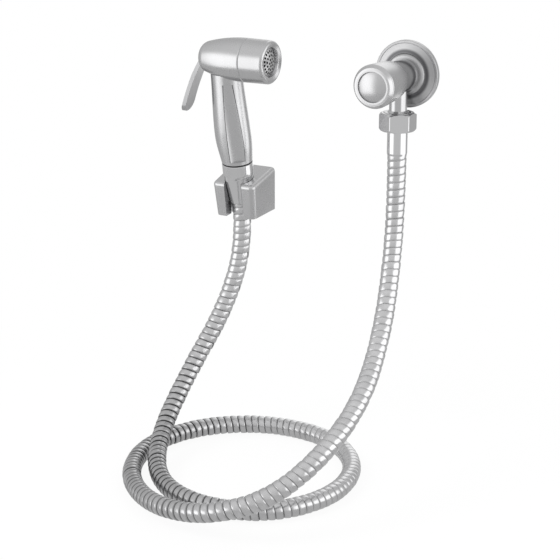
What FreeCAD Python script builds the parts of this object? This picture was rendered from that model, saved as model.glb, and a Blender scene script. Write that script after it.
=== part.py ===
import FreeCAD, Part
import math
import os

# Handheld bidet shower: an angle valve on the wall, a ribbed metal hose lying in a
# loop, and a trigger handset that stands in a wall holder.
# Frame: +X runs along the wall to the right, +Y goes into the wall, +Z is up.
# The origin is where the valve's inlet axis meets the wall. All sizes are in mm.

os.makedirs("parts", exist_ok=True)
V = FreeCAD.Vector
UP = V(0, 0, 1)

# Fits
thread_gap = 0.10       # radial, a male pipe thread in its nut
seat_gap = 0.30         # between parts that move past each other
run_gap = 0.05          # radial, a shaft turning in its bore
plug_gap = 0.10         # radial, a piece pushed into another
reach = 100.0           # length of a cutting tool that runs right through a piece

# G1/2 pipe thread, drawn as its outer cylinder
pipe_r = 10.48
pipe_bore_r = 5.5

# Wall flange, depths measured out from the wall
flange_r = 24.6
flange_rim = 3.6        # height of the outer rim
flange_wall = 1.0
flange_bead_w = 2.2     # width of the flat bead round the rim
flange_foot_r = 17.0    # where the dish meets the raised hub
flange_dish = 0.7       # height of the dish above the rim at the hub
flange_hub_r = 12.6
flange_depth = 7.0      # face of the hub, where the valve's shoulder sits

# Valve body
body_r = 11.75
body_front = 31.0
land_r = 10.8           # plain land that carries the flange
spigot_len = 14.0
chamber_r = 8.4
chamber_floor = 10.4
seat_r = 6.9
seat_h = 1.0
outlet_depth = 16.5     # from the wall to the outlet's axis
outlet_bore_r = 4.2
neck_r = 6.5
thread_top = 25.3       # below the valve's axis
thread_len = 8.4

# Headwork
bonnet_r = 9.2
bonnet_len = 10.0
gasket_t = 1.0
bonnet_hex = 19.0
bonnet_hex_h = 3.0
bonnet_neck_r = 6.2
bonnet_neck_len = 8.0
guide_hex = 11.0        # hexagonal guide that keeps the plunger from turning
spindle_r = 4.0
collar_r = 5.2
collar_t = 1.3
screw_r = 3.0
seal_half = 0.55        # half the square section of the spindle's seals
seal_steps = (2.6, 6.6) # along the bonnet's hexagon and neck
clip_t = 0.8
drive_square = 6.0
drive_len = 9.7
washer_r = 6.8
washer_t = 2.45
washer_plate = 1.5
open_lift = 2.5         # how far the plunger lifts in one and a half turns
closed_gap = 0.05

# Knob
knob_rear_r = 14.0
knob_r = 15.7
knob_belly_r = 15.1
knob_gap = 0.6          # between the valve body and the knob
knob_len = 29.4
knob_wall = 2.0
knob_bevel = 2.4
knob_land = 1.2         # flat ring between the bevel and the cap's recess
cap_r = 10.9
cap_edge = 1.6
cap_dome = 2.2
cap_wall = 1.4
recess_depth = 2.6
web_t = 2.0

# Hose nut on the valve
nut_af = 24.0
nut_drop = 0.4          # nut starts this much below the top of the thread
nut_h = 13.3
nut_edge_r = 1.1        # round of the hexagon's corners
washer_hose_t = 2.0

# Hose and its ends
hose_r = 7.15
liner_r = 5.6
liner_bore_r = 4.0
tail_bore_r = 2.6
insert_flange_t = 1.6
insert_shoulder_t = 2.0
insert_flange_r = 9.7
insert_shoulder_r = 8.6
ferrule_r = 7.5
ferrule_top = 1.5
ferrule_len = 17.7
nut_ferrule_len = 11.4
tail_short = 2.0        # the tail ends this much inside the ferrule

# Cone nut under the handset
ring_t = 1.4
cone_r = 11.85
cone_land = 7.0
cone_end_r = 8.3
cone_len = 32.0
handset_thread = 13.4

# Handset: local frame with X to the spray face and Z up the handle,
# leaned out from the wall about X, with its foot at handset_foot
handset_foot = V(-129.0, -25.73, -74.05)
handset_lean = 10.0
head_z = 81.6
head_r = 16.3
head_belly = (1.0, 15.2)         # place along the head and radius half-way to its rear
head_tail = (-14.5, 11.9)
head_rear = 20.8        # rear tip behind the handle's axis
head_tip_r = 8.2
seam_x = 18.0
face_x = 38.5
ring_r = 16.1
ring_round = 2.6
bezel_r = 13.6
dish_r = 10.8
dish_depth = 3.4
plate_t = 1.6
plate_bulge = 2.8
plate_flange_r = 12.9
hole_r = 0.6
hole_rings = ((0.0, 1), (2.7, 6), (5.4, 12), (8.1, 18))     # radius and count, six-sided to stay light
# Handle sections: height, middle along X, half depth along X, half width along Y
handle_sections = ((0.0, 0.0, 11.85, 11.85), (3.0, -0.2, 12.3, 11.9), (11.0, -0.8, 13.6, 12.0),
                   (25.0, -1.5, 14.2, 12.0), (40.0, -1.7, 13.6, 11.6), (55.0, -1.7, 12.8, 11.0),
                   (71.0, -1.6, 12.3, 10.4))
# Scoop down each side of the handle: height, bearing from the side towards the front, depth
scoop_r = 13.0
scoop_foot = (0.0, 33.0, 2.3)
scoop_head = (62.0, 27.0, 0.8)
handle_band = 2.4       # plain band round the handle's foot, below the scoops
water_r = 6.0
port_r = 3.0
port_x = 1.5

# Trigger valve in the head
valve_bore_r = 5.0
valve_rear = -6.6
valve_front = 8.5
front_bore_r = 14.4
front_step = 11.5
piston_r = 4.9
piston_len = 2.6
stem_r = 2.0
stem_neck_r = 2.3
stem_seal_half = 0.6
spring_r = 3.7
spring_wire_r = 0.4     # half the wire's square section
spring_turns = 6
spring_peg_r = 2.6

# Trigger lever
pivot_x = -11.0
pivot_z = 87.2
pin_r = 1.5
pin_len = 19.6
eye_r = 3.0
lever_w = 14.0
lever_t = 3.0
lever_line = ((-17.2, 82.4), (-21.3, 76.6), (-26.0, 69.0), (-32.0, 57.2), (-36.3, 47.4), (-40.6, 36.0))
lever_pad = 2.2         # half height of the face that pushes the stem
lever_tip_r = 6.4
slot_floor = -10.0
slot_lip = -13.6
slot_roof = 0.75        # slope of its roof
slot_room = 8.5         # from the tongue's second point down to the slot's foot

# Wall holder
holder_w = 37.0
holder_narrowing = 3.6  # from the top to the foot
holder_depth = 35.0
holder_thinning = 5.5   # from the top to the foot
holder_foot_w = holder_w - holder_narrowing
holder_foot_depth = holder_depth - holder_thinning
holder_top = -83.0
holder_foot = -118.5
holder_drop = 8.6       # the top slopes down this much towards the front
holder_foot_rise = 2.5  # and the foot rises this much towards the wall
holder_corner = 4.0
holder_edge_r = 3.0     # round along the top
holder_slot = 15.2
cradle_gap = 0.3
holder_hole_r = 2.25
holder_sink_r = 4.4
holder_hole_pitch = 14.0
holder_hole_low = -110.0
holder_screw_wall = 5.0 # what the screws clamp
holder_sink_t = 2.2

# Route of the hose, chosen by hand: down from the handset to the floor, one and a half
# turns of a loop, over itself, and up to the valve. It leaves each end along the fitting's
# axis as far as the two lengths say, below the handset's foot and below the valve's axis.
handset_straight = 67.0
valve_straight = 94.3
hose_route = (
    (-141.0, -23.5, -193.0),
    (-159.5, -52.5, -243.0),
    (-159.5, -97.0, -280.0),
    (-132.5, -144.5, -291.8),
    (-83.5, -170.0, -291.8),
    (-30.0, -157.5, -291.8),
    (-2.0, -110.0, -291.8),
    (-10.0, -54.0, -291.8),
    (-50.0, -13.5, -291.8),
    (-107.0, -8.0, -291.8),
    (-155.0, -38.5, -291.8),
    (-174.0, -92.5, -291.8),
    (-156.0, -147.0, -291.4),
    (-111.5, -189.5, -287.7),
    (-61.0, -203.5, -281.3),
    (-16.5, -188.5, -268.0),
    (8.5, -153.5, -244.0),
    (17.0, -105.5, -216.5),
    (11.0, -60.5, -180.5),
    (3.5, -29.5, -137.5),
)

saved = {}


def save(name, shape):
    """Write one sub-part to its own STEP file."""
    solids = shape.Solids
    if not solids or not shape.isValid():
        raise ValueError("bad shape: " + name)
    if len(solids) == 1:
        shape = solids[0]
    shape.exportStep("parts/" + name + ".step")
    saved[name] = shape
    print("%-24s %d solid, %.1f mm3" % (name, len(solids), shape.Volume))


def outline(points):
    """Closed wire in the XZ plane; a point of four numbers is an arc's middle and end."""
    edges = []
    here = V(points[0][0], 0, points[0][1])
    for item in list(points[1:]) + [points[0]]:
        end = V(item[-2], 0, item[-1])
        if end.distanceToPoint(here) > 1e-6:
            if len(item) == 4:
                edges.append(Part.Arc(here, V(item[0], 0, item[1]), end).toShape())
            else:
                edges.append(Part.LineSegment(here, end).toShape())
        here = end
    return Part.Wire(edges)


def lathe(points):
    """Turned piece about Z from (radius, height) points."""
    return Part.Face(outline(points)).revolve(V(0, 0, 0), UP, 360)


def dome(radius, edge, top):
    """Middle of the arc from (radius, edge) to (0, top) whose centre lies on the axis."""
    rise = abs(top - edge)
    ball = (radius ** 2 + rise ** 2) / (2 * rise)
    half = math.atan2(radius, ball - rise) / 2
    side = math.copysign(1, top - edge)
    return ball * math.sin(half), top - side * ball * (1 - math.cos(half))


def tube(outer, inner, low, high):
    return lathe(((inner, low), (outer, low), (outer, high), (inner, high)))


def rod(radius, low, high):
    return Part.makeCylinder(radius, high - low, V(0, 0, low))


def hexagon(across_flats, low, high, turn=0.0):
    corner = across_flats / 2 / math.cos(math.pi / 6)
    points = [V(corner * math.cos(turn + k * math.pi / 3), corner * math.sin(turn + k * math.pi / 3), low)
              for k in range(7)]
    return Part.Face(Part.makePolygon(points)).extrude(V(0, 0, high - low))


def square(across_flats, low, high):
    half = across_flats / 2
    return Part.makeBox(across_flats, across_flats, high - low, V(-half, -half, low))


def ring_seal(outer, half, height):
    """A rubber ring of square section, centred on a height."""
    return tube(outer, outer - 2 * half, height - half, height + half)


def from_wall(shape):
    """A piece turned about Z is laid along the valve's axis, its height out from the wall."""
    shape.rotate(V(0, 0, 0), V(1, 0, 0), 90)
    return shape


def along_head(shape):
    """A piece turned about Z is laid along the handset's head, its height to the spray face."""
    shape.rotate(V(0, 0, 0), V(0, 1, 0), 90)
    shape.translate(V(0, 0, head_z))
    return shape


def in_handset(shape):
    """From the handset's own frame to the room."""
    shape.rotate(V(0, 0, 0), V(1, 0, 0), handset_lean)
    shape.translate(handset_foot)
    return shape


# Wall flange: a spun dish with a beaded rim and a raised hub

def make_flange():
    bead_in = flange_r - flange_bead_w
    foot_h = flange_rim + flange_dish
    hole = land_r + plug_gap
    shoulder = flange_foot_r - 1.6
    mid_r = (bead_in + flange_foot_r) / 2
    profile = (
        (hole, flange_depth - flange_wall),
        (flange_hub_r - 0.6, flange_depth - flange_wall),
        (shoulder - flange_wall - 0.4, flange_depth - 2.4 - flange_wall / 2),
        (flange_foot_r - flange_wall, foot_h - flange_wall),
        (bead_in, flange_rim - flange_wall),
        (flange_r - flange_wall, flange_rim - flange_wall),
        (flange_r - flange_wall, 0),
        (flange_r, 0),
        (flange_r, flange_rim - 0.5),
        (flange_r - 0.15, flange_rim - 0.12, flange_r - 0.6, flange_rim),
        (bead_in + 0.4, flange_rim),
        (bead_in, flange_rim - 0.25),
        (mid_r, flange_rim + 0.15, flange_foot_r, foot_h),
        (shoulder, flange_depth - 2.4),
        (shoulder - 0.7, flange_depth - 0.9, flange_hub_r, flange_depth),
        (hole, flange_depth),
    )
    return from_wall(lathe(profile))


save("wall_flange", make_flange())


# Valve body: inlet spigot, barrel, side outlet down to a threaded end

seat_face = chamber_floor + seat_h
thread_foot = thread_top + thread_len


def make_valve_body():
    barrel = lathe((
        (0, -spigot_len), (pipe_r - 0.8, -spigot_len), (pipe_r, -spigot_len + 0.8), (pipe_r, 0),
        (land_r, 0), (land_r, flange_depth), (body_r - 0.4, flange_depth), (body_r, flange_depth + 0.4),
        (body_r, body_front - 0.6), (body_r - 0.6, body_front), (0, body_front)))
    from_wall(barrel)
    outlet = lathe((
        (0, 0), (neck_r, 0), (neck_r, -thread_top + 1.2), (neck_r + 1.2, -thread_top),
        (pipe_r - 0.6, -thread_top), (pipe_r, -thread_top - 0.6), (pipe_r, -thread_foot + 0.6),
        (pipe_r - 0.6, -thread_foot), (0, -thread_foot)))
    outlet.translate(V(0, -outlet_depth, 0))
    body = barrel.fuse(outlet)
    waterway = lathe((
        (0, -spigot_len - 1), (pipe_bore_r, -spigot_len - 1), (pipe_bore_r, seat_face),
        (seat_r, seat_face), (seat_r, chamber_floor), (chamber_r, chamber_floor),
        (chamber_r, body_front - bonnet_len), (bonnet_r, body_front - bonnet_len),
        (bonnet_r, body_front + 1), (0, body_front + 1)))
    drop = rod(outlet_bore_r, -thread_foot - 1, 0)
    drop.translate(V(0, -outlet_depth, 0))
    return body.cut(from_wall(waterway)).cut(drop).removeSplitter()


save("valve_body", make_valve_body())


# Headwork: bonnet, gasket, spindle with two seals and a clip, plunger and washer

bonnet_rear = body_front - bonnet_len
hex_rear = body_front + gasket_t
hex_front = hex_rear + bonnet_hex_h
neck_front = hex_front + bonnet_neck_len
thrust = hex_rear - 0.6                 # shoulder inside the bonnet that the collar pushes on
collar_front = thrust - 0.2
collar_rear = collar_front - collar_t
clip_rear = neck_front + 0.2
drive_rear = clip_rear + clip_t
drive_front = drive_rear + drive_len
seal_at = [hex_rear + step for step in seal_steps]
washer_rear = seat_face + closed_gap
plate_rear = washer_rear + washer_t
plunger_rear = plate_rear + washer_plate
plunger_front = collar_rear - open_lift - 0.4
relief_rear = collar_rear - 0.5


def make_bonnet():
    blank = rod(bonnet_r - thread_gap, bonnet_rear, hex_rear)
    blank = blank.fuse(hexagon(bonnet_hex, hex_rear, hex_front))
    blank = blank.fuse(rod(bonnet_neck_r, hex_front, neck_front))
    hole = hexagon(guide_hex, bonnet_rear - 1, relief_rear + 0.01)
    hole = hole.fuse(rod(guide_hex / 2 / math.cos(math.pi / 6), relief_rear, thrust))
    hole = hole.fuse(rod(spindle_r + run_gap, thrust - 0.01, neck_front + 1))
    return from_wall(blank.cut(hole).removeSplitter())


def make_spindle():
    shaft = rod(screw_r, plunger_rear + 3.1, collar_rear)
    shaft = shaft.fuse(rod(collar_r, collar_rear, collar_front))
    shaft = shaft.fuse(rod(spindle_r, collar_front, drive_rear))
    drive = square(drive_square, drive_rear, drive_front).common(rod(spindle_r, drive_rear, drive_front))
    shaft = shaft.fuse(drive)
    for height in seal_at:
        half = seal_half + 0.1
        shaft = shaft.cut(tube(spindle_r + 1, spindle_r - 2 * seal_half, height - half, height + half))
    shaft = shaft.cut(tube(spindle_r + 1, spindle_r - 0.7, clip_rear, clip_rear + clip_t))
    shaft = shaft.cut(rod(1.6, drive_front - 8.0, drive_front + 1))
    return from_wall(shaft.removeSplitter())


def make_plunger():
    blank = hexagon(guide_hex - 2 * seat_gap, plunger_rear - 0.01, plunger_front)
    blank = blank.fuse(rod(washer_r + 0.6, plate_rear, plunger_rear))
    blank = blank.fuse(rod(2.0, washer_rear + 0.7, plate_rear))
    return from_wall(blank.cut(rod(screw_r + seat_gap, plunger_rear + 0.2, plunger_front + 1)))


def make_circlip():
    ring = tube(bonnet_neck_r - 0.4, spindle_r - 0.7, clip_rear, clip_rear + clip_t)
    return from_wall(ring.cut(Part.makeBox(2.4, 8, 2, V(-1.2, 0, clip_rear - 0.5))))


save("bonnet", make_bonnet())
save("bonnet_gasket", from_wall(tube(body_r - 0.6, bonnet_r, body_front, hex_rear)))
save("spindle", make_spindle())
for label, height in zip(("rear", "front"), seal_at):
    save("spindle_seal_" + label, from_wall(ring_seal(spindle_r, seal_half, height)))
save("spindle_clip", make_circlip())
save("plunger", make_plunger())
save("seat_washer", from_wall(tube(washer_r, 2.0 + plug_gap, washer_rear, plate_rear)))


# Knob: a hollow barrel that widens to a bevelled front, its screw and its domed cap

knob_rear = body_front + knob_gap
knob_front = knob_rear + knob_len
recess_floor = knob_front - recess_depth
socket_floor = drive_front + 0.3
head_floor = socket_floor + web_t
hub_rear = drive_rear + 0.6
cavity_floor = recess_floor - 3.8
screw_head_t = recess_floor - head_floor - 0.4


def make_knob():
    inner_rear = knob_rear_r - knob_wall
    profile = (
        (0, recess_floor), (cap_r + plug_gap, recess_floor), (cap_r + plug_gap, knob_front),
        (knob_r - knob_bevel - knob_land, knob_front), (knob_r - knob_bevel + 0.3, knob_front - 0.2),
        (knob_r - 0.5, knob_front - knob_bevel),
        (knob_r - 0.1, knob_front - knob_bevel - 0.4, knob_r, knob_front - knob_bevel - 1.0),
        (knob_belly_r, (knob_rear + knob_front) / 2 - 2.0, knob_rear_r, knob_rear + 0.8),
        (knob_rear_r - 0.25, knob_rear + 0.2, knob_rear_r - 0.8, knob_rear),
        (inner_rear, knob_rear),
        (knob_r - knob_wall - 0.4, cavity_floor),
        (7.0, cavity_floor), (7.0, hub_rear), (0, hub_rear),
    )
    knob = lathe(profile)
    side = drive_square + 2 * plug_gap
    socket = square(side, hub_rear - 1, socket_floor).common(
        rod(spindle_r + plug_gap, hub_rear - 1, socket_floor))
    knob = knob.cut(socket).cut(rod(1.8, socket_floor - 1, head_floor + 1))
    return from_wall(knob.cut(rod(4.2, head_floor, recess_floor + 1)).removeSplitter())


def make_knob_screw():
    screw = rod(1.6, drive_front - 7.0, head_floor)
    screw = screw.fuse(rod(3.6, head_floor, head_floor + screw_head_t))
    slot = hexagon(2.6, head_floor + screw_head_t - 1.1, head_floor + screw_head_t + 1)
    return from_wall(screw.cut(slot))


def make_knob_cap():
    edge = recess_floor + cap_edge
    top = edge + cap_dome
    inner_r = cap_r - cap_wall
    profile = (
        (0, top - cap_wall), (*dome(inner_r, edge - 0.2, top - cap_wall), inner_r, edge - 0.2),
        (inner_r, recess_floor), (cap_r, recess_floor), (cap_r, edge),
        (*dome(cap_r, edge, top), 0, top),
    )
    return from_wall(lathe(profile))


save("knob", make_knob())
save("knob_screw", make_knob_screw())
save("knob_cap", make_knob_cap())


# Hose ends: rubber washer, tail insert and ferrule, built downwards from the thread's end

def hose_end(ferrule_radius, ferrule_length):
    flange = -washer_hose_t - insert_flange_t
    shoulder = flange - insert_shoulder_t
    foot = shoulder - ferrule_length
    tail_foot = foot + tail_short
    tail_r = liner_bore_r - plug_gap
    washer = tube(insert_flange_r - 0.1, pipe_bore_r, -washer_hose_t, 0)
    insert = lathe((
        (tail_bore_r, -washer_hose_t), (insert_flange_r, -washer_hose_t), (insert_flange_r, flange),
        (insert_shoulder_r, flange), (insert_shoulder_r, shoulder), (tail_r, shoulder),
        (tail_r, tail_foot + 1.0), (tail_r - 0.5, tail_foot), (tail_bore_r, tail_foot)))
    for k in range(2):
        notch = tail_foot + 2.0 + 3.2 * k
        insert = insert.cut(lathe(((tail_r - 0.35, notch), (tail_r + 1, notch), (tail_r + 1, notch + 1.4),
                                   (tail_r, notch + 1.4))))
    ferrule = lathe((
        (tail_r + plug_gap, shoulder), (ferrule_radius - 0.4, shoulder), (ferrule_radius, shoulder - 0.4),
        (ferrule_radius, foot + 1.6), (hose_r + 0.05, foot), (liner_r + plug_gap, foot),
        (liner_r + plug_gap, shoulder - ferrule_top), (tail_r + plug_gap, shoulder - ferrule_top)))
    return {"washer": washer, "insert": insert, "ferrule": ferrule, "foot": foot,
            "liner": shoulder - ferrule_top - 0.3, "lip": flange}


valve_end = hose_end(ferrule_r, ferrule_len)
handset_end = hose_end(hose_r + 0.1, nut_ferrule_len)


def under_valve(shape):
    shape.translate(V(0, -outlet_depth, -thread_foot))
    return shape


def under_handset(shape):
    shape.translate(V(0, 0, -handset_thread))
    return in_handset(shape)


def make_hex_nut():
    top = thread_len - nut_drop
    foot = top - nut_h
    corner = nut_af / 2 / math.cos(math.pi / 6)
    end_r = nut_af / 2 - 0.3
    slope = (corner - end_r) * 0.75
    barrel = lathe((
        (0, foot), (end_r, foot), (nut_af / 2 + 0.7, foot + slope * 0.3, corner, foot + slope + 1.2),
        (corner, top - slope - 1.2), (nut_af / 2 + 0.7, top - slope * 0.3, end_r, top), (0, top)))
    prism = hexagon(nut_af, foot, top, math.pi / 6)
    corners = [edge for edge in prism.Edges if abs(edge.tangentAt(edge.FirstParameter).z) > 0.9]
    nut = prism.makeFillet(nut_edge_r, corners).common(barrel)
    lip = valve_end["lip"]
    nut = nut.cut(rod(pipe_r + thread_gap, lip, top + 1))
    return nut.cut(rod(insert_shoulder_r + seat_gap, foot - 1, lip + 1))


def make_cone_nut():
    top = handset_thread - ring_t
    foot = top - cone_len
    lip = handset_end["lip"]
    bore = hose_r + seat_gap
    profile = (
        (pipe_r + thread_gap, top), (cone_r - 0.3, top), (cone_r, top - 0.3), (cone_r, top - cone_land),
        (cone_r - 0.15, top - cone_land - 2.0, cone_r - 0.6, top - cone_land - 4.0),
        (cone_end_r + 0.15, foot + 0.5), (cone_end_r - 0.3, foot), (bore, foot),
        (bore, lip - insert_shoulder_t - 0.6), (insert_shoulder_r + seat_gap, lip - insert_shoulder_t - 0.6),
        (insert_shoulder_r + seat_gap, lip), (pipe_r + thread_gap, lip))
    return lathe(profile)


save("hose_nut", under_valve(make_hex_nut()))
save("valve_washer", under_valve(valve_end["washer"]))
save("valve_insert", under_valve(valve_end["insert"]))
save("valve_ferrule", under_valve(valve_end["ferrule"]))
save("cone_nut", under_handset(make_cone_nut()))
save("handset_washer", under_handset(handset_end["washer"]))
save("handset_insert", under_handset(handset_end["insert"]))
save("handset_ferrule", under_handset(handset_end["ferrule"]))
save("collar_ring", in_handset(tube(cone_r - 0.35, pipe_r + thread_gap, -ring_t, 0)))


# Hose: one plain cord along the route, whose liner reaches into the ferrule at each end

def hose_path(points):
    """Straight runs joined by tangent arcs, each as large as its two runs allow."""
    edges = []
    radii = []
    here = points[0]
    for before, corner, after in zip(points, points[1:], points[2:]):
        run_in = corner - before
        run_out = after - corner
        half_turn = run_in.getAngle(run_out) / 2
        cut = 0.45 * min(run_in.Length, run_out.Length)
        radius = cut / math.tan(half_turn)
        radii.append(radius)
        way_in = V(run_in).normalize()
        way_out = V(run_out).normalize()
        start = corner - way_in * cut
        end = corner + way_out * cut
        towards = V(way_out - way_in).normalize()
        middle = corner + towards * (radius / math.cos(half_turn) - radius)
        edges.append(Part.LineSegment(here, start).toShape())
        edges.append(Part.Arc(start, middle, end).toShape())
        here = end
    edges.append(Part.LineSegment(here, points[-1]).toShape())
    return Part.Wire(edges), radii


def make_hose():
    lean = math.radians(handset_lean)
    handset_up = V(0, -math.sin(lean), math.cos(lean))
    points = [V(*point) for point in hose_route]
    points.insert(0, handset_foot - handset_up * handset_straight)
    points.insert(0, handset_foot + handset_up * (handset_end["foot"] - handset_thread))
    points.append(V(0, -outlet_depth, -valve_straight))
    points.append(V(0, -outlet_depth, valve_end["foot"] - thread_foot))
    path, radii = hose_path(points)
    way = V(points[1] - points[0]).normalize()
    section = Part.Face(Part.Wire(Part.makeCircle(hose_r, points[0], way)))
    solid = path.makePipe(section)
    print("hose: length %.1f, volume %.1f against %.1f" % (
        path.Length, solid.Volume, section.Area * path.Length))
    print("hose radii: " + " ".join("%.0f" % radius for radius in radii))
    ends = ((handset_end, under_handset), (valve_end, under_valve))
    for end, place in ends:
        solid = solid.fuse(place(tube(liner_r, liner_bore_r, end["foot"] - 0.01, end["liner"])))
    return solid


save("hose", make_hose())


# Handset body: a bullet-shaped head on a handle with a scooped panel on each side

def ellipse_wire(height, middle, half_x, half_y):
    if abs(half_x - half_y) < 1e-6:
        return Part.Wire(Part.makeCircle(half_x, V(middle, 0, height)))
    return Part.Wire(Part.Ellipse(
        V(middle + half_x, 0, height), V(middle, half_y, height), V(middle, 0, height)).toShape())


def handle_at(height):
    """Middle, half depth and half width of the handle between two of its sections."""
    for low, high in zip(handle_sections, handle_sections[1:]):
        if height <= high[0]:
            break
    share = (height - low[0]) / (high[0] - low[0])
    return [a + (b - a) * share for a, b in zip(low[1:], high[1:])]


def handle_scoop(side):
    """A drum that hollows one side of the handle, deeper towards the foot."""
    ends = []
    for height, bearing, depth in (scoop_foot, scoop_head):
        middle, half_x, half_y = handle_at(height)
        angle = math.radians(bearing)
        out = V(math.sin(angle), side * math.cos(angle), 0)
        skin = 1 / math.hypot(out.x / half_x, out.y / half_y)
        ends.append(V(middle, 0, height) + out * (skin - depth + scoop_r))
    way = V(ends[1] - ends[0]).normalize()
    return Part.makeCylinder(scoop_r, reach, ends[0] - way * scoop_r, way)


def lathe_head(points):
    return along_head(lathe(points))


def lever_slot():
    """Slot in the head's tail for the lever: round its eye, sloping down and out below it."""
    half = lever_w / 2 + 0.4
    room = eye_r + seat_gap
    foot = lever_line[1][1] - slot_room
    rear = -head_rear - 10
    slant = math.hypot(1, slot_roof)
    points = [(pivot_x + room, pivot_z + room),
              (pivot_x - room * (slant - 1) / slot_roof, pivot_z + room),
              (rear, pivot_z + room * slant - slot_roof * (pivot_x - rear)), (rear, foot), (slot_lip, foot),
              (slot_floor, pivot_z - room), (pivot_x + room, pivot_z - room)]
    wire = Part.makePolygon([V(x, -half, z) for x, z in points + points[:1]])
    return Part.Face(wire).extrude(V(0, 2 * half, 0))


def make_handset_body():
    tip_x = 1.0 - head_rear
    belly_x, belly_r = head_belly
    tail_x, tail_r = head_tail
    head = lathe_head((
        (0, -head_rear), (*dome(head_tip_r, tip_x, -head_rear), head_tip_r, tip_x),
        ((head_tip_r + tail_r) / 2 + 0.5, (tip_x + tail_x) / 2 - 0.35, tail_r, tail_x),
        (belly_r, belly_x, head_r, seam_x - 0.7), (head_r - 0.6, seam_x), (0, seam_x)))
    handle = Part.makeLoft([ellipse_wire(*section) for section in handle_sections], True, False)
    for side in (-1, 1):
        handle = handle.cut(handle_scoop(side))
    handle = handle.fuse(rod(handle_sections[0][2], 0, handle_band))
    spigot = lathe(((0, -handset_thread), (pipe_r - 0.6, -handset_thread), (pipe_r, 0.6 - handset_thread),
                    (pipe_r, 0.01), (0, 0.01)))
    body = head.fuse(handle).fuse(spigot)
    water = rod(water_r, -handset_thread - 1, head_z - 22)
    port = Part.makeCylinder(port_r, 30, V(port_x, 0, head_z - 30))
    bore = lathe_head((
        (0, valve_rear), (valve_bore_r, valve_rear), (valve_bore_r, valve_front - 0.5),
        (valve_bore_r + 0.5, valve_front), (front_bore_r - 1.8, valve_front), (front_bore_r - 1.8, front_step),
        (front_bore_r, front_step), (front_bore_r, seam_x + 1), (0, seam_x + 1)))
    guide = along_head(rod(stem_r + run_gap, -head_rear, valve_rear + 1))
    pin_hole = Part.makeCylinder(pin_r, pin_len, V(pivot_x, -pin_len / 2, pivot_z), V(0, 1, 0))
    body = body.cut(water).cut(port).cut(bore).cut(guide).cut(lever_slot()).cut(pin_hole)
    return in_handset(body.removeSplitter())


save("handset_body", make_handset_body())


# Face ring, spray plate and their seals

lip_x = face_x - dish_depth - 2.0
plate_flange_x = lip_x - 1.0
bore_r = plate_flange_r + plug_gap


def make_face_ring():
    skirt_rear = front_step + 1.0
    inner_front = dish_r + plug_gap
    profile = (
        (bore_r, skirt_rear), (front_bore_r - thread_gap, skirt_rear), (front_bore_r - thread_gap, seam_x),
        (head_r - 0.6, seam_x), (head_r, seam_x + 0.7), (ring_r, face_x - ring_round - 3.0),
        (ring_r, face_x - ring_round),
        (ring_r - ring_round * 0.29, face_x - ring_round * 0.29, ring_r - ring_round, face_x),
        (bezel_r, face_x), (inner_front + 0.5, face_x - 0.9), (inner_front, face_x - 1.4),
        (inner_front, lip_x), (bore_r, lip_x),
    )
    return in_handset(lathe_head(profile))


def make_spray_plate():
    front = face_x - dish_depth
    back = plate_flange_x - plate_t
    profile = (
        (0, back), (plate_flange_r, back), (plate_flange_r, plate_flange_x), (dish_r, plate_flange_x),
        (dish_r, front), (*dome(dish_r, front, front + plate_bulge), 0, front + plate_bulge))
    plate = lathe(profile)
    plate = plate.cut(rod(dish_r - 1.2, back + plate_t, front - plate_t))
    cup_rear = back + plate_t
    core = rod(dish_r - 1.2, cup_rear - plate_t - 1, front - plate_t)
    window = core.cut(rod(spring_r + spring_wire_r + 0.6, cup_rear - plate_t - 2, front))
    spokes = Part.makeBox(2 * dish_r, 1.6, front, V(-dish_r, -0.8, 0))
    cross = Part.makeBox(1.6, 2 * dish_r, front, V(-0.8, -dish_r, 0))
    plate = plate.cut(window.cut(spokes).cut(cross))
    holes = []
    for radius, count in hole_rings:
        for k in range(count):
            angle = 2 * math.pi * (k + 0.5) / count
            hole = hexagon(2 * hole_r, front - plate_t - 1, front + 2)
            hole.translate(V(radius * math.cos(angle), radius * math.sin(angle), 0))
            holes.append(hole)
    plate = plate.cut(Part.makeCompound(holes))
    peg = rod(spring_peg_r, back - 2.0, back + 0.01)
    return in_handset(along_head(plate.fuse(peg).removeSplitter()))


save("face_ring", make_face_ring())
save("spray_plate", make_spray_plate())
save("plate_gasket", in_handset(along_head(
    tube(plate_flange_r, dish_r + plug_gap, plate_flange_x, lip_x))))
save("ring_gasket", in_handset(along_head(
    tube(front_bore_r - thread_gap, front_bore_r - 1.4, front_step, front_step + 1.0))))


# Trigger valve: stem with two pistons and their seals, and its return spring

stem_foot = valve_rear + 0.2
front_piston = valve_front - 2.7
stem_tip = -14.0
spring_rear = front_piston + piston_len
spring_front = plate_flange_x - plate_t
seal_outer = valve_bore_r - run_gap


def make_stem():
    stem = lathe((
        (0, stem_tip), (*dome(stem_r, stem_tip + 1.2, stem_tip), stem_r, stem_tip + 1.2), (stem_r, stem_foot),
        (piston_r, stem_foot), (piston_r, stem_foot + piston_len), (stem_neck_r, stem_foot + piston_len),
        (stem_neck_r, front_piston), (piston_r, front_piston), (piston_r, spring_rear),
        (spring_peg_r, spring_rear), (spring_peg_r, spring_rear + 2.0), (0, spring_rear + 2.0)))
    for start in (stem_foot, front_piston):
        middle = start + piston_len / 2
        half = stem_seal_half + 0.1
        stem = stem.cut(tube(piston_r + 1, seal_outer - 2 * stem_seal_half, middle - half, middle + half))
    return in_handset(along_head(stem))


def make_spring():
    length = spring_front - spring_rear - 2 * spring_wire_r
    pitch = length / spring_turns
    helix = Part.makeHelix(pitch, length, spring_r)
    half = spring_wire_r
    corners = ((-half, -half), (half, -half), (half, half), (-half, half), (-half, -half))
    wire = Part.makePolygon([V(spring_r + out, 0, up) for out, up in corners])
    coil = helix.makePipeShell([wire], True, True)
    coil.translate(V(0, 0, spring_rear + spring_wire_r))
    return in_handset(along_head(coil))


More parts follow.
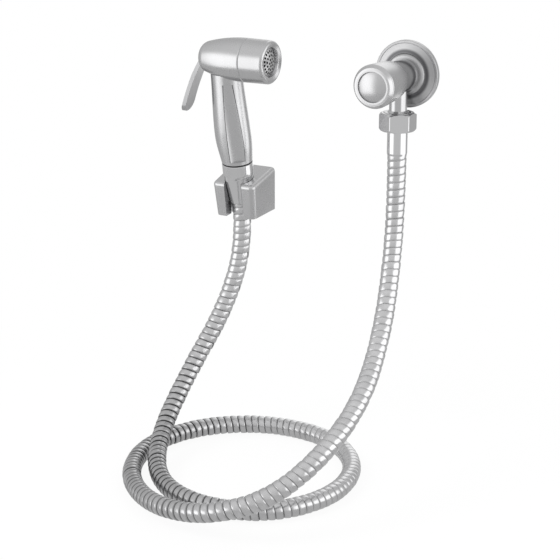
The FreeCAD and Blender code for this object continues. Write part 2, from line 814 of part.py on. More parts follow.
save("valve_stem", make_stem())
for label, start in (("rear", stem_foot), ("front", front_piston)):
    seal = ring_seal(seal_outer, stem_seal_half, start + piston_len / 2)
    save("stem_seal_" + label, in_handset(along_head(seal)))
save("return_spring", make_spring())


# Trigger lever and its pin

def lever_skin(offset):
    """Points along the tongue, set off to one side of its middle line."""
    line = [V(x, 0, z) for x, z in lever_line]
    skin = []
    for k, point in enumerate(line):
        way = line[min(k + 1, len(line) - 1)] - line[max(k - 1, 0)]
        way.normalize()
        skin.append(point + V(-way.z, 0, way.x) * offset)
    return skin


def make_lever():
    rear = Part.BSplineCurve()
    rear.interpolate(lever_skin(-lever_t / 2))
    front = Part.BSplineCurve()
    front.interpolate(lever_skin(lever_t / 2))
    rear_line, front_line = rear.toShape(), front.toShape()
    head = Part.makeLine(rear.StartPoint, front.StartPoint)
    tip = Part.makeLine(rear.EndPoint, front.EndPoint)
    face = Part.Face(Part.Wire(Part.__sortEdges__([rear_line, tip, front_line, head])))
    tongue = face.extrude(V(0, lever_w, 0))
    tongue.translate(V(0, -lever_w / 2, 0))
    link = Part.Face(Part.makePolygon([
        V(pivot_x, 0, pivot_z + eye_r), rear.StartPoint, rear.value(rear.LastParameter * 0.12),
        front.value(front.LastParameter * 0.12), V(stem_tip - seat_gap, 0, head_z - lever_pad),
        V(stem_tip - seat_gap, 0, head_z + lever_pad), V(pivot_x, 0, pivot_z - eye_r),
        V(pivot_x, 0, pivot_z + eye_r)])).extrude(V(0, lever_w, 0))
    link.translate(V(0, -lever_w / 2, 0))
    eye = Part.makeCylinder(eye_r, lever_w, V(pivot_x, -lever_w / 2, pivot_z), V(0, 1, 0))
    lever = tongue.fuse(link).fuse(eye)
    foot = lever_line[-1][1] + 0.8
    lever = lever.cut(Part.makeBox(reach, 2 * lever_w, reach, V(-reach, -lever_w, foot - reach)))
    for side in (-1, 1):
        centre = side * (lever_w / 2 - lever_tip_r)
        low = centre if side > 0 else centre - lever_tip_r - 1
        corner = Part.makeBox(reach, lever_tip_r + 1, lever_tip_r + 1, V(-reach, low, foot - 1))
        drum = Part.makeCylinder(lever_tip_r, reach + 2, V(-reach - 1, centre, foot + lever_tip_r), V(1, 0, 0))
        lever = lever.cut(corner.cut(drum))
    hole = Part.makeCylinder(pin_r + run_gap, reach, V(pivot_x, -reach / 2, pivot_z), V(0, 1, 0))
    return in_handset(lever.cut(hole).removeSplitter())


save("trigger_lever", make_lever())
save("trigger_pin", in_handset(Part.makeCylinder(
    pin_r, pin_len, V(pivot_x, -pin_len / 2, pivot_z), V(0, 1, 0))))


# Wall holder: a tapered block with a cone cradle, open to the front for the hose

def holder_section(height, back_w, front_w, depth):
    half_b, half_f, corner = back_w / 2, front_w / 2, holder_corner
    cut = corner * (1 - math.sqrt(0.5))
    x = handset_foot.x
    left = V(x - half_f, -depth, height)
    right = V(x + half_f, -depth, height)
    return Part.Wire([
        Part.makeLine(V(x - half_b, 0, height), left + V(0, corner, 0)),
        Part.Arc(left + V(0, corner, 0), left + V(cut, cut, 0), left + V(corner, 0, 0)).toShape(),
        Part.makeLine(left + V(corner, 0, 0), right - V(corner, 0, 0)),
        Part.Arc(right - V(corner, 0, 0), right + V(-cut, cut, 0), right + V(0, corner, 0)).toShape(),
        Part.makeLine(right + V(0, corner, 0), V(x + half_b, 0, height)),
        Part.makeLine(V(x + half_b, 0, height), V(x - half_b, 0, height)),
    ])


def holder_wedge(height, drop, thickness):
    """What lies beyond a plane that leaves the wall at a height and drops towards the front."""
    left = handset_foot.x - holder_w
    run = holder_depth + 2
    wire = Part.makePolygon([
        V(left, 2, height + drop * 2 / holder_depth), V(left, -run, height - drop * run / holder_depth),
        V(left, -run, height + thickness), V(left, 2, height + thickness),
        V(left, 2, height + drop * 2 / holder_depth)])
    return Part.Face(wire).extrude(V(2 * holder_w, 0, 0))


def on_holder_top(edge):
    spots = [edge.valueAt(edge.FirstParameter), edge.valueAt(edge.LastParameter)]
    off = [abs(spot.z - holder_top - holder_drop * spot.y / holder_depth) for spot in spots]
    return max(off) < 0.01 and min(spot.y for spot in spots) < -0.01


def make_holder():
    x = handset_foot.x
    block = Part.makeLoft([
        holder_section(holder_foot, holder_w, holder_foot_w, holder_foot_depth),
        holder_section(holder_top, holder_w, holder_w, holder_depth)], True, True)
    block = block.cut(holder_wedge(holder_top, holder_drop, reach))
    block = block.cut(holder_wedge(holder_foot + holder_foot_rise, holder_foot_rise, -reach))
    rim = [edge for edge in block.Edges if on_holder_top(edge)]
    block = block.makeFillet(holder_edge_r, rim)
    cradle = lathe((
        (0, 6), (cone_r + cradle_gap, 6), (cone_r + cradle_gap, -ring_t - cone_land),
        (cone_r + cradle_gap - 0.6, -ring_t - cone_land - 4.0),
        (cone_end_r + cradle_gap + 0.15, -ring_t - cone_len + 0.5),
        (cone_end_r + cradle_gap, -ring_t - cone_len), (cone_end_r + cradle_gap, -50), (0, -50)))
    block = block.cut(in_handset(cradle))
    slot = Part.makeBox(holder_slot, 60, 60, V(x - holder_slot / 2, handset_foot.y - 56, holder_foot - 10))
    block = block.cut(slot)
    for k in range(2):
        height = holder_hole_low + k * holder_hole_pitch
        hole = Part.makeCylinder(holder_hole_r, reach, V(x, 1, height), V(0, -1, 0))
        sink = Part.makeCylinder(holder_sink_r, reach, V(x, -holder_screw_wall, height), V(0, -1, 0))
        cone = Part.makeCone(holder_hole_r, holder_sink_r, holder_sink_t,
                             V(x, holder_sink_t - holder_screw_wall, height), V(0, -1, 0))
        block = block.cut(hole).cut(sink).cut(cone)
    return block.removeSplitter()


save("wall_holder", make_holder())

print("%d pieces" % len(saved))
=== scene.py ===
import bpy
import math
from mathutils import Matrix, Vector


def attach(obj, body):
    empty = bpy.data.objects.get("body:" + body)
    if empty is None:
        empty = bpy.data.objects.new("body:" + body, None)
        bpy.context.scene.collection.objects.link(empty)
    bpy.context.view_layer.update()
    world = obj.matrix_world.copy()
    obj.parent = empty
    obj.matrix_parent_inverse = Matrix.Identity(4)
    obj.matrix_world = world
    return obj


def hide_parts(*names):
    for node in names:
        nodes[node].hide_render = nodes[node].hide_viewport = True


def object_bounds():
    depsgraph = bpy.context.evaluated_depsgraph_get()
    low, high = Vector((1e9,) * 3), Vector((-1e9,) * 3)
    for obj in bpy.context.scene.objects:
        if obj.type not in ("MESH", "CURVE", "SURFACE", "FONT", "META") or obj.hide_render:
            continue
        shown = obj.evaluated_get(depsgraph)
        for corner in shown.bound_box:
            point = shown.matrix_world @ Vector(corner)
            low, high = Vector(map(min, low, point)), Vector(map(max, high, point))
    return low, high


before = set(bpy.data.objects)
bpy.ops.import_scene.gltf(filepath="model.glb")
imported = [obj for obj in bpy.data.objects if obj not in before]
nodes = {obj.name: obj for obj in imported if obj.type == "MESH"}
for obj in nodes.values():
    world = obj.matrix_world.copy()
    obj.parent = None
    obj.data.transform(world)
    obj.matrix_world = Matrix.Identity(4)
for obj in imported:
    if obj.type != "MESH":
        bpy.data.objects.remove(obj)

# Handheld bidet shower: a chromed angle valve and a trigger handset in its wall holder,
# joined by a spiral-wound steel hose that lies in a loop on a white table.
# Lengths are in metres in the part's own frame: +X along the wall, +Y into it, +Z up.

cad_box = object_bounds()
MM = 0.001


# Node trees

def linear(code):
    """An sRGB hex colour as the linear colour that shaders read."""
    channels = [int(code[k:k + 2], 16) / 255 for k in (1, 3, 5)]
    return [c / 12.92 if c <= 0.04045 else ((c + 0.055) / 1.055) ** 2.4 for c in channels] + [1.0]


def feed(node, inputs):
    """Give each input a value, a socket to follow, or a node whose first output it takes."""
    for key, value in inputs.items():
        if isinstance(value, bpy.types.Node):
            value = value.outputs[0]
        if isinstance(value, bpy.types.NodeSocket):
            node.id_data.links.new(value, node.inputs[key])
        else:
            node.inputs[key].default_value = value
    return node


def add(tree, kind, inputs=None, **settings):
    """Add a node with its settings, and feed its inputs."""
    node = tree.nodes.new(kind)
    for name, value in settings.items():
        setattr(node, name, value)
    return feed(node, inputs or {})


def calc(tree, operation, *terms):
    """A maths node on one to three values or sockets."""
    return add(tree, "ShaderNodeMath", dict(enumerate(terms)), operation=operation)


def vector_calc(tree, operation, *terms):
    """A maths node on one or two vectors."""
    return add(tree, "ShaderNodeVectorMath", dict(enumerate(terms)), operation=operation)


def vector_length(tree, vector):
    return vector_calc(tree, "LENGTH", vector).outputs["Value"]


def ramp(tree, value, start, end, low=0.0, high=1.0, smooth=False):
    """Low where the value is at its start, high where it is at its end, and between them on the way."""
    return add(tree, "ShaderNodeMapRange", {
        "Value": value, "From Min": start, "From Max": end, "To Min": low, "To Max": high},
        interpolation_type="SMOOTHSTEP" if smooth else "LINEAR")


def object_place(tree):
    """Where a point of the piece lies at rest, in the part's frame."""
    return add(tree, "ShaderNodeTexCoord").outputs["Object"]


def noise(tree, scale, detail):
    """Soft random patches, fixed to the piece."""
    return add(tree, "ShaderNodeTexNoise", {"Vector": object_place(tree), "Scale": scale, "Detail": detail})


def mix_colours(tree, share, plain, other):
    """The plain colour where the share is 0, the other where it is 1."""
    mix = add(tree, "ShaderNodeMix", {"Factor": share, "A": plain, "B": other}, data_type="RGBA")
    return mix.outputs["Result"]


# Materials

def new_material(name):
    """A material with a bare Principled shader, its tree and that shader."""
    material = bpy.data.materials.new(name)
    material.use_nodes = True
    return material, material.node_tree, material.node_tree.nodes["Principled BSDF"]


def chrome(name, colour, haze, haze_scale, ripple, ripple_scale):
    """Chromed surface: a grey mirror, hazed in soft patches, over a slowly rippled ground. Haze is its
    least and most roughness, ripple the strength of its bumps, and a higher scale makes either finer."""
    material, tree, surface = new_material(name)
    level = ramp(tree, noise(tree, haze_scale, 4.0), 0.3, 0.7, *haze)
    waves = noise(tree, ripple_scale, 1.0)
    bump = add(tree, "ShaderNodeBump", {"Height": waves, "Strength": ripple, "Distance": 2 * MM})
    feed(surface, {"Base Color": linear(colour), "Metallic": 1.0, "Roughness": level, "Normal": bump})
    return material


def paint_shade(material, share, dark):
    """Paint shade into a material: the dark colour where the share is 1, its own where it is 0."""
    tree = material.node_tree
    surface = tree.nodes["Principled BSDF"]
    own = tuple(surface.inputs["Base Color"].default_value)
    feed(surface, {"Base Color": mix_colours(tree, share, own, linear(dark))})


fold_r = 16.6 * MM                  # of the fold where the flange's dish turns into its hub
fold_shade = (2.6 * MM, 0.4 * MM)   # how far off the fold its painted shade begins, and where it is full


def spun_dish():
    """Chrome of the flange: one even grey, set darker as painted shade, with more painted shade in the fold
    where the dish turns into its hub.
    """
    material = chrome("shaded_chrome_on_spun_brass", "#BABABB",
                      haze=(0.34, 0.42), haze_scale=70.0, ripple=0.02, ripple_scale=40.0)
    tree = material.node_tree
    out = vector_length(tree, vector_calc(tree, "MULTIPLY", object_place(tree), (1, 0, 1)))
    off_fold = calc(tree, "ABSOLUTE", calc(tree, "SUBTRACT", out, fold_r))
    # Painted shade: a dark ring along the fold
    paint_shade(material, ramp(tree, off_fold, *fold_shade, smooth=True), "#68686A")
    return material


handset_lean = math.radians(10.0)


def upright_from(tree, middle):
    """The way from a middle to a point, as if the handset stood upright."""
    leaning = vector_calc(tree, "SUBTRACT", object_place(tree), middle)
    return add(tree, "ShaderNodeVectorRotate", {"Vector": leaning, "Angle": -handset_lean},
               rotation_type="X_AXIS")


head_middle = (0.0, -39.90 * MM, 6.31 * MM)     # a point on the axis of the handset's head
hole_ring_step = 2.7 * MM
hole_rings = 3              # round the middle hole, with six holes more in each
hole_shade_r = 0.85 * MM     # a bore and the painted shade round it


def spray_face():
    """Dull plated face of the spray plate, with painted shade as a dark disc at each of its holes."""
    material = chrome("dull_chrome_on_spray_face", "#C2C2C3",
                      haze=(0.28, 0.34), haze_scale=90.0, ripple=0.02, ripple_scale=60.0)
    tree = material.node_tree
    across = vector_calc(tree, "MULTIPLY", upright_from(tree, head_middle), (0, 1, 1))
    out = vector_length(tree, across)
    sides = add(tree, "ShaderNodeSeparateXYZ", {0: across}).outputs

    # The nearest ring, the nearest hole in it, and how far off that is along the ring and across it
    ring = calc(tree, "MINIMUM", calc(tree, "ROUND", calc(tree, "DIVIDE", out, hole_ring_step)), hole_rings)
    count = calc(tree, "MAXIMUM", calc(tree, "MULTIPLY", ring, 6.0), 1.0)
    turn = calc(tree, "DIVIDE", calc(tree, "ARCTAN2", sides["Y"], sides["Z"]), 2 * math.pi)
    slot = calc(tree, "MULTIPLY_ADD", turn, count, -0.5)
    past = calc(tree, "SUBTRACT", slot, calc(tree, "ROUND", slot))
    pitch = calc(tree, "DIVIDE", calc(tree, "MULTIPLY", out, 2 * math.pi), count)
    along = calc(tree, "MULTIPLY", calc(tree, "MULTIPLY", past, pitch), calc(tree, "MINIMUM", ring, 1.0))
    beyond = calc(tree, "SUBTRACT", out, calc(tree, "MULTIPLY", ring, hole_ring_step))
    away = vector_length(tree, add(tree, "ShaderNodeCombineXYZ", {"X": along, "Y": beyond}))
    # Painted shade: a dark disc over each hole, wider than its bore
    paint_shade(material, ramp(tree, away, hole_shade_r + 0.2 * MM, hole_shade_r - 0.1 * MM), "#141415")
    return material


# The handle is hollowed on each side by a drum, whose axis runs through these two places.
# They are measured from the handset's foot as it stands upright.
handset_foot = (-129.0 * MM, -25.73 * MM, -74.05 * MM)
drum_r = 13.0 * MM
drum_foot = Vector((12.28, 18.91, 0.0)) * MM
drum_head = Vector((8.90, 20.72, 62.0)) * MM
scoop_heights = (2.4 * MM, 64.0 * MM)
crease_inside = (0.03 * MM, 0.1 * MM)   # how far out from the scoop its painted crease shade begins, and where it is full
crease_outside = (0.6 * MM, 0.3 * MM)   # where it ends, and how far out it is still full


def scooped_chrome():
    """Chrome of the moulded handset, with painted shade as a thin dark line along the edges of the handle's
    scoops.
    """
    material = chrome("chrome_on_scooped_abs", "#C3C3C4",
                      haze=(0.24, 0.30), haze_scale=60.0, ripple=0.04, ripple_scale=45.0)
    tree = material.node_tree
    sides = add(tree, "ShaderNodeSeparateXYZ", {0: upright_from(tree, handset_foot)}).outputs
    one_side = add(tree, "ShaderNodeCombineXYZ", {
        "X": sides["X"], "Y": calc(tree, "ABSOLUTE", sides["Y"]), "Z": sides["Z"]})
    from_drum = vector_calc(tree, "SUBTRACT", one_side, drum_foot)
    off_axis = vector_calc(tree, "CROSS_PRODUCT", from_drum, (drum_head - drum_foot).normalized())
    past = calc(tree, "SUBTRACT", vector_length(tree, off_axis), drum_r)
    # Painted shade: a thin dark line just outside each scoop's edge, on both sides
    ring = calc(tree, "MULTIPLY", ramp(tree, past, *crease_outside), ramp(tree, past, *crease_inside))
    above_foot = calc(tree, "GREATER_THAN", sides["Z"], scoop_heights[0])
    below_head = calc(tree, "LESS_THAN", sides["Z"], scoop_heights[1])
    crease_shade = calc(tree, "MULTIPLY", ring, calc(tree, "MULTIPLY", above_foot, below_head))
    paint_shade(material, crease_shade, "#5C5C5D")
    return material


def strip_chrome():
    """Chromed steel strip of the hose: bright turns, with painted shade as a dark line down in each seam and
    over whole turns where seams gape.
    """
    material, tree, surface = new_material("chromed_spiral_strip")
    # The seam attribute is painted shade: the seams' dark line, and whole turns darkened where seams gape
    seam = add(tree, "ShaderNodeAttribute", attribute_name="seam").outputs["Fac"]
    bright = mix_colours(tree, noise(tree, 160.0, 3.0), linear("#BCBCBD"), linear("#DCDCDD"))
    feed(surface, {
        "Base Color": mix_colours(tree, seam, bright, linear("#1C1C1D")),
        "Roughness": ramp(tree, seam, 0.0, 1.0, 0.22, 0.5), "Metallic": 1.0})
    return material


def black_rubber():
    """Moulded nitrile rubber: black with a soft sheen and a fine grain."""
    material, tree, surface = new_material("black_nitrile_rubber")
    grain = noise(tree, 900.0, 2.0)
    bump = add(tree, "ShaderNodeBump", {"Height": grain, "Strength": 0.15, "Distance": 0.1 * MM})
    feed(surface, {"Base Color": linear("#161618"), "Roughness": 0.55, "Normal": bump})
    return material


def bare_metal(name, colour, finest, coarsest):
    """Turned or drawn bare metal, its sheen broken by fine tool lines."""
    material, tree, surface = new_material(name)
    level = ramp(tree, noise(tree, 1000.0, 2.0), 0.0, 1.0, finest, coarsest)
    feed(surface, {"Base Color": linear(colour), "Metallic": 1.0, "Roughness": level})
    return material


finishes = {
    # Sharp, cool mirror: the ferrule and nuts show hard white bands
    "brass_chrome": chrome("chrome_on_turned_brass", "#D2D2D3",
                           haze=(0.10, 0.15), haze_scale=90.0, ripple=0.02, ripple_scale=60.0),
    # Painted shade: a darker grey for the cast valve, which sets its barrel off from the knob and the flange
    "shaded_cast_chrome": chrome("shaded_chrome_on_cast_brass", "#BEBEBF",
                          haze=(0.12, 0.18), haze_scale=90.0, ripple=0.02, ripple_scale=60.0),
    # Painted shade: a darker, even grey for the flange behind them, and a dark ring in its fold
    "shaded_spun_chrome": spun_dish(),
    # Soft, slightly rippled mirror of plated mouldings: broad blurred bands
    "plastic_chrome": chrome("chrome_on_moulded_abs", "#C3C3C4",
                             haze=(0.24, 0.30), haze_scale=60.0, ripple=0.04, ripple_scale=45.0),
    # The same on the handset, whose scoops are drawn by thin lines of painted shade
    "scooped_chrome": scooped_chrome(),
    # Painted shade: a darker grey for the lever, so that its edges stay clear of the white ground
    "shaded_pressed_chrome": chrome("shaded_chrome_on_pressed_steel", "#B4B4B5",
                             haze=(0.30, 0.36), haze_scale=60.0, ripple=0.03, ripple_scale=45.0),
    # Dull grey face with painted shade at its holes
    "spray_chrome": spray_face(),
    # Bright rings cut by thin lines of painted shade
    "strip": strip_chrome(),
    # Black line under the handle
    "rubber": black_rubber(),
    # Warm yellow of the turned inner works
    "brass": bare_metal("turned_brass", "#D4B36A", 0.2, 0.4),
    # Grey satin of springs, pins and clips
    "steel": bare_metal("drawn_stainless_steel", "#B9B8B6", 0.15, 0.32),
}
finish_of = {
    "brass_chrome": ("hose_nut", "valve_ferrule", "cone_nut"),
    "shaded_cast_chrome": ("valve_body",),
    "shaded_spun_chrome": ("wall_flange",),
    "plastic_chrome": ("knob", "knob_cap", "face_ring", "wall_holder"),
    "scooped_chrome": ("handset_body",),
    "shaded_pressed_chrome": ("trigger_lever",),
    "spray_chrome": ("spray_plate",),
    "strip": ("hose",),
    "rubber": ("bonnet_gasket", "spindle_seal_rear", "spindle_seal_front", "seat_washer", "valve_washer",
               "handset_washer", "collar_ring", "plate_gasket", "ring_gasket", "stem_seal_rear",
               "stem_seal_front"),
    "brass": ("bonnet", "spindle", "plunger", "valve_insert", "handset_insert", "valve_stem"),
    "steel": ("spindle_clip", "knob_screw", "return_spring", "trigger_pin", "handset_ferrule"),
}
for finish, names in finish_of.items():
    for name in names:
        skin = nodes[name].data.materials
        skin.clear()
        skin.append(finishes[finish])


# Hose: the route's control points, the same as the part's, from the handset's nut to the valve's

hose_route = (
    (-0.1290, -0.02045, -0.10399),
    (-0.1290, -0.01410, -0.14003),
    (-0.1410, -0.0235, -0.1930),
    (-0.1595, -0.0525, -0.2430),
    (-0.1595, -0.0970, -0.2800),
    (-0.1325, -0.1445, -0.2918),
    (-0.0835, -0.1700, -0.2918),
    (-0.0300, -0.1575, -0.2918),
    (-0.0020, -0.1100, -0.2918),
    (-0.0100, -0.0540, -0.2918),
    (-0.0500, -0.0135, -0.2918),
    (-0.1070, -0.0080, -0.2918),
    (-0.1550, -0.0385, -0.2918),
    (-0.1740, -0.0925, -0.2918),
    (-0.1560, -0.1470, -0.2914),
    (-0.1115, -0.1895, -0.2877),
    (-0.0610, -0.2035, -0.2813),
    (-0.0165, -0.1885, -0.2680),
    (0.0085, -0.1535, -0.2440),
    (0.0170, -0.1055, -0.2165),
    (0.0110, -0.0605, -0.1805),
    (0.0035, -0.0295, -0.1375),
    (0.0000, -0.0165, -0.0943),
    (0.0000, -0.0165, -0.0570),
)
hose_radius = 7.15 * MM
strip_pitch = 5.5 * MM
seam_depth = 1.1 * MM
seam_sharpness = 7.0        # the power that narrows a seam: higher is narrower
cup_rise = 0.42 * MM        # how much wider a turn is at one edge than at the other
unevenness = 0.30 * MM      # how far turns differ in that
crown = 0.15 * MM           # how far each turn is rounded
gape_place = (-0.155, -0.122, -0.325)   # under the left of the loop, where seams gape most and painted shade is darkest
gape_reach = (0.06, 0.19)   # how near to it they gape fully, and how far from it they are shut
shut_seams = 0.24           # how deep a shut seam is, as a share of a gaping one
turn_shade = 0.25              # how much painted shade darkens whole turns where seams gape
rows_per_turn = 10
segments_round = 36


def hose_line():
    """The route as a smooth NURBS curve."""
    curve = bpy.data.curves.new("hose_line", "CURVE")
    curve.dimensions = "3D"
    curve.resolution_u = 40
    spline = curve.splines.new("NURBS")
    spline.points.add(len(hose_route) - 1)
    for point, place in zip(spline.points, hose_route):
        point.co = (*place, 1.0)
    spline.order_u = 3
    spline.use_endpoint_u = True
    line = bpy.data.objects.new("hose_line", curve)
    bpy.context.scene.collection.objects.link(line)
    return line


def spiral_tree():
    """Nodes that wind a strip along a line. A grid's rows run along the hose, a few to each turn,
    and its columns round it; each column starts a little further on, so that the turns form a helix."""
    tree = bpy.data.node_groups.new("spiral_strip", "GeometryNodeTree")
    sockets = {
        "Line": "Object", "Length": "Float", "Radius": "Float", "Pitch": "Float", "Seam depth": "Float",
        "Seam sharpness": "Float", "Crown": "Float", "Cup rise": "Float", "Unevenness": "Float",
        "Gape place": "Vector", "Gape near": "Float", "Gape far": "Float", "Shut seams": "Float",
        "Turn shade": "Float", "Turns": "Int", "Rows per turn": "Int", "Segments": "Int",
        "Finish": "Material"}
    for name, kind in sockets.items():
        tree.interface.new_socket(name=name, in_out="INPUT", socket_type="NodeSocket" + kind)
    tree.interface.new_socket(name="Hose", in_out="OUTPUT", socket_type="NodeSocketGeometry")
    given = add(tree, "NodeGroupInput").outputs
    per_turn = given["Rows per turn"]

    # The grid, and each point's row and column in it
    columns = calc(tree, "ADD", given["Segments"], 1.0)
    rows = calc(tree, "MULTIPLY_ADD", given["Turns"], per_turn, 1.0)
    sheet = add(tree, "GeometryNodeMeshGrid", {"Vertices X": rows, "Vertices Y": columns})
    index = add(tree, "GeometryNodeInputIndex")
    row = calc(tree, "FLOOR", calc(tree, "DIVIDE", calc(tree, "ADD", index, 0.5), columns))
    column = calc(tree, "SUBTRACT", index, calc(tree, "MULTIPLY", row, columns))
    share_round = calc(tree, "DIVIDE", column, given["Segments"])

    # The turn, and how far across its strip the row lies: rows crowd towards the seams
    turn = calc(tree, "FLOOR", calc(tree, "DIVIDE", calc(tree, "ADD", row, 0.5), per_turn))
    row_in_turn = calc(tree, "SUBTRACT", row, calc(tree, "MULTIPLY", turn, per_turn))
    step = calc(tree, "DIVIDE", row_in_turn, per_turn)
    swing = calc(tree, "COSINE", calc(tree, "MULTIPLY", step, math.pi))
    across = calc(tree, "MULTIPLY_ADD", swing, -0.5, 0.5)
    started = calc(tree, "ADD", calc(tree, "ADD", turn, across), share_round)
    turns_on = calc(tree, "SUBTRACT", started, 1.0)
    way_along = add(tree, "ShaderNodeClamp", {
        "Value": calc(tree, "MULTIPLY", turns_on, given["Pitch"]), "Min": 0.0, "Max": given["Length"]})

    # The spot on the line at that length
    line = add(tree, "GeometryNodeObjectInfo", {"Object": given["Line"]}).outputs["Geometry"]
    spot = add(tree, "GeometryNodeSampleCurve", {"Curves": line, "Length": way_along}, mode="LENGTH").outputs

    # The seam: deep and with dark painted shade near the gape place, shallow and light far from it
    away = vector_calc(tree, "DISTANCE", spot["Position"], given["Gape place"]).outputs["Value"]
    gape = ramp(tree, away, given["Gape near"], given["Gape far"], 1.0, given["Shut seams"])
    near_seam = calc(tree, "POWER", calc(tree, "ABSOLUTE", swing), given["Seam sharpness"])
    seam = calc(tree, "MULTIPLY", near_seam, gape)
    # Painted shade: dark in the seams, and over whole turns where the seams gape
    dark = calc(tree, "MULTIPLY_ADD", calc(tree, "POWER", gape, 3.0), given["Turn shade"], seam)

    # The radius: rounded across the strip, a little wider at one edge, sunk at the seam
    round_off = calc(tree, "MULTIPLY", calc(tree, "MULTIPLY", swing, swing), given["Crown"])
    uneven = add(tree, "FunctionNodeRandomValue", {2: -1.0, 3: 1.0, "ID": turn, "Seed": 7},
                 data_type="FLOAT").outputs[1]
    cup = calc(tree, "MULTIPLY_ADD", uneven, given["Unevenness"], given["Cup rise"])
    lift = calc(tree, "MULTIPLY", calc(tree, "ADD", across, -1.0), cup)
    drop = calc(tree, "MULTIPLY_ADD", seam, given["Seam depth"], round_off)
    radius = calc(tree, "ADD", calc(tree, "SUBTRACT", given["Radius"], drop), lift)

    # The place: out from the spot, by the radius
    side = vector_calc(tree, "CROSS_PRODUCT", spot["Tangent"], spot["Normal"])
    angle = calc(tree, "MULTIPLY", share_round, 2 * math.pi)
    out = []
    for direction, function in ((spot["Normal"], "COSINE"), (side, "SINE")):
        part = calc(tree, "MULTIPLY", calc(tree, function, angle), radius)
        out.append(add(tree, "ShaderNodeVectorMath", {0: direction, "Scale": part}, operation="SCALE"))
    place = vector_calc(tree, "ADD", spot["Position"], vector_calc(tree, "ADD", *out))

    # The painted shade goes to the shader as the seam attribute
    marked = add(tree, "GeometryNodeStoreNamedAttribute", {"Geometry": sheet, "Name": "seam", "Value": dark},
                 data_type="FLOAT", domain="POINT")
    wound = add(tree, "GeometryNodeSetPosition", {"Geometry": marked, "Position": place})
    closed = add(tree, "GeometryNodeMergeByDistance", {"Geometry": wound, "Distance": 0.02 * MM})
    smooth = add(tree, "GeometryNodeSetShadeSmooth", {"Geometry": closed})
    dressed = add(tree, "GeometryNodeSetMaterial", {"Geometry": smooth, "Material": given["Finish"]})
    add(tree, "NodeGroupOutput", {0: dressed})
    return tree


def run_tree(name, tree, values):
    """A plain mesh object from a node tree and the values of its named inputs."""
    base = bpy.data.objects.new(name + "_base", bpy.data.meshes.new(name + "_base"))
    bpy.context.scene.collection.objects.link(base)
    modifier = base.modifiers.new("tree", "NODES")
    modifier.node_group = tree
    for item in tree.interface.items_tree:
        if item.in_out == "INPUT":
            modifier[item.identifier] = values[item.name]
    shaped = base.evaluated_get(bpy.context.evaluated_depsgraph_get())
    mesh = bpy.data.meshes.new_from_object(shaped)
    bpy.data.objects.remove(base)
    piece = bpy.data.objects.new(name, mesh)
    bpy.context.scene.collection.objects.link(piece)
    return piece


def make_hose():
    """The wound hose along its route, in place of the part's plain round one."""
    line = hose_line()
    bpy.context.view_layer.update()
    path = [vertex.co.copy() for vertex in bpy.data.meshes.new_from_object(line).vertices]
    length = sum((b - a).length for a, b in zip(path, path[1:]))
    hose = run_tree("spiral_hose", spiral_tree(), {
        "Line": line, "Length": length, "Radius": hose_radius, "Pitch": strip_pitch,
        "Seam depth": seam_depth, "Seam sharpness": seam_sharpness, "Crown": crown, "Cup rise": cup_rise,
        "Unevenness": unevenness, "Gape place": gape_place, "Gape near": gape_reach[0],
        "Gape far": gape_reach[1], "Shut seams": shut_seams, "Turn shade": turn_shade,
        "Turns": math.ceil(length / strip_pitch) + 2, "Rows per turn": rows_per_turn,
        "Segments": segments_round, "Finish": finishes["strip"]})
    bpy.data.objects.remove(line)
    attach(hose, "set")
    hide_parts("hose")
    print("hose: %.4f m, %d faces" % (length, len(hose.data.polygons)))


make_hose()


# Table, studio surroundings, lamps and camera

table_height = cad_box[0].z - 0.2 * MM
table_middle = (-0.08, -0.10)
table_r = 0.5
table_sides = 96
shadow_reach = (0.2, 0.42)      # the part's shadow shows within the first radius, and is gone at the second
shadow_hidden = 0.93            # how much of the shadow the table's glow hides within that reach
table_mirrored = 0.62


def white_table():
    """A round white table top. The camera sees it white, with the part's own faint shadow near the
    middle, and chrome mirrors it a little greyer."""
    turns = [2 * math.pi * k / table_sides for k in range(table_sides)]
    rim = [(table_r * math.cos(turn), table_r * math.sin(turn), 0) for turn in turns]
    table = bpy.data.meshes.new("table_top")
    table.from_pydata(rim, [], [tuple(range(table_sides))])
    top = bpy.data.objects.new("table_top", table)
    top.location = (*table_middle, table_height)
    bpy.context.scene.collection.objects.link(top)
    material, tree, surface = new_material("white_laminate")
    feed(surface, {"Base Color": linear("#E8E8E8"), "Roughness": 0.6})
    rays = add(tree, "ShaderNodeLightPath").outputs
    out = vector_length(tree, object_place(tree))
    clear = ramp(tree, out, *shadow_reach, shadow_hidden, 1.0, smooth=True)
    mirrored = calc(tree, "MAXIMUM", rays["Is Glossy Ray"], rays["Is Transmission Ray"])
    seen = calc(tree, "MAXIMUM", rays["Is Camera Ray"], mirrored)
    level = ramp(tree, mirrored, 0.0, 1.0, 1.0, table_mirrored)
    glow = add(tree, "ShaderNodeEmission", {"Color": (1, 1, 1, 1), "Strength": level})
    mixed = add(tree, "ShaderNodeMixShader", {0: calc(tree, "MULTIPLY", seen, clear), 1: surface, 2: glow})
    feed(tree.nodes["Material Output"], {"Surface": mixed})
    table.materials.append(material)


# What chrome mirrors: a grey room, lighter in front than behind, with white soft boxes.
# Each box: bearing from the front towards +X, its half width, height, its half height, its strength
room_level = {"below": 0.62, "level": 0.76, "above": 0.92}
room_behind = 0.74
soft_boxes = ((-42, 22, -9, 33, 1.1), (98, 34, -4, 36, 1.1), (192, 16, 10, 40, 0.7))
box_edge = 9.0              # how far its edge fades, inwards and outwards
plain_light = 0.9           # what falls on dull surfaces from all round


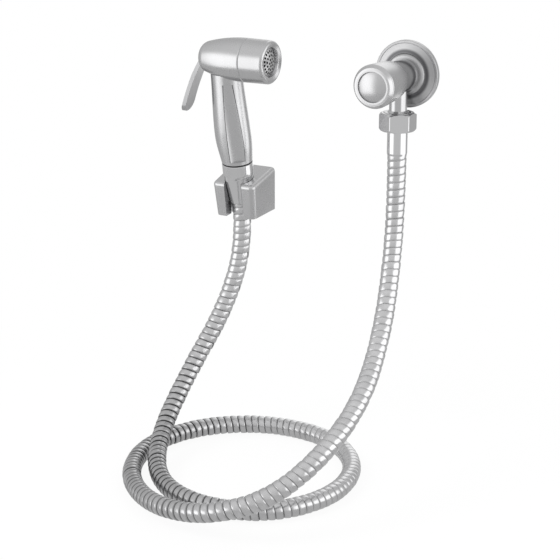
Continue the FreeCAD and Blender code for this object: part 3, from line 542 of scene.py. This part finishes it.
def studio_world():
    """The room by direction for what mirrors it, plain light for the rest, and white for the camera."""
    world = bpy.data.worlds.new("grey_studio")
    bpy.context.scene.world = world
    world.use_nodes = True
    tree = world.node_tree
    tree.nodes.clear()
    direction = add(tree, "ShaderNodeTexCoord").outputs["Generated"]
    way = add(tree, "ShaderNodeSeparateXYZ", {0: direction}).outputs
    ahead = calc(tree, "MULTIPLY", way["Y"], -1.0)
    bearing = calc(tree, "ARCTAN2", way["X"], ahead)
    height = calc(tree, "ARCSINE", way["Z"])
    low = ramp(tree, way["Z"], -0.9, 0.0, room_level["below"], room_level["level"])
    high = ramp(tree, way["Z"], 0.0, 0.9, 0.0, room_level["above"] - room_level["level"])
    facing = ramp(tree, ahead, -0.8, 0.5, room_behind, 1.0, smooth=True)
    light = calc(tree, "MULTIPLY", calc(tree, "ADD", low, high), facing)
    for *spans, strength in soft_boxes:
        share = strength
        for measure, middle, half in ((bearing, *spans[:2]), (height, *spans[2:])):
            off = calc(tree, "SUBTRACT", measure, math.radians(middle))
            away = calc(tree, "ABSOLUTE", calc(tree, "WRAP", off, math.pi, -math.pi))
            outer, inner = math.radians(half + box_edge), math.radians(half - box_edge)
            share = calc(tree, "MULTIPLY", ramp(tree, away, outer, inner, smooth=True), share)
        light = calc(tree, "ADD", light, share)
    rays = add(tree, "ShaderNodeLightPath").outputs
    mirrored = add(tree, "ShaderNodeMix", {"Factor": rays["Is Glossy Ray"], "A": plain_light, "B": light},
                   data_type="FLOAT")
    seen = add(tree, "ShaderNodeMix", {"Factor": rays["Is Camera Ray"], "A": mirrored, "B": 1.0},
               data_type="FLOAT")
    sky = add(tree, "ShaderNodeBackground", {"Color": (1, 1, 1, 1), "Strength": seen})
    add(tree, "ShaderNodeOutputWorld", {0: sky})


def area_lamp(name, place, target, size, power):
    """A soft lamp that lights and shades, but isn't mirrored in the chrome."""
    lamp = bpy.data.lights.new(name, "AREA")
    lamp.shape = "DISK"
    lamp.size = size
    lamp.energy = power
    holder = bpy.data.objects.new(name, lamp)
    holder.location = place
    holder.rotation_mode = "QUATERNION"
    holder.rotation_quaternion = (Vector(target) - Vector(place)).to_track_quat("-Z", "Y")
    holder.visible_glossy = False
    bpy.context.scene.collection.objects.link(holder)


photo_width = 560           # pixels


def camera_at(azimuth, elevation, distance, target, focal_pixels):
    """The photograph's view: azimuth from the front towards +X, in degrees."""
    turn, lift = math.radians(azimuth), math.radians(elevation)
    back = Vector((math.sin(turn) * math.cos(lift), -math.cos(turn) * math.cos(lift), math.sin(lift)))
    lens = bpy.data.cameras.new("camera")
    lens.sensor_width = 36.0
    lens.lens = focal_pixels / photo_width * lens.sensor_width
    eye = bpy.data.objects.new("camera", lens)
    eye.location = Vector(target) + back * distance
    eye.rotation_mode = "QUATERNION"
    eye.rotation_quaternion = (-back).to_track_quat("-Z", "Y")
    bpy.context.scene.collection.objects.link(eye)
    bpy.context.scene.camera = eye


white_table()
studio_world()
part_middle = (-0.08, -0.08, -0.2)
area_lamp("key_lamp", place=(-0.9, -1.1, 1.2), target=part_middle, size=0.9, power=16.0)
area_lamp("fill_lamp", place=(1.1, -0.9, 0.8), target=part_middle, size=0.9, power=8.0)
camera_at(azimuth=28.56, elevation=17.53, distance=1.255, target=(-0.0733, -0.0600, -0.1517),
          focal_pixels=1690.0)
bpy.context.scene.view_settings.view_transform = "Standard"
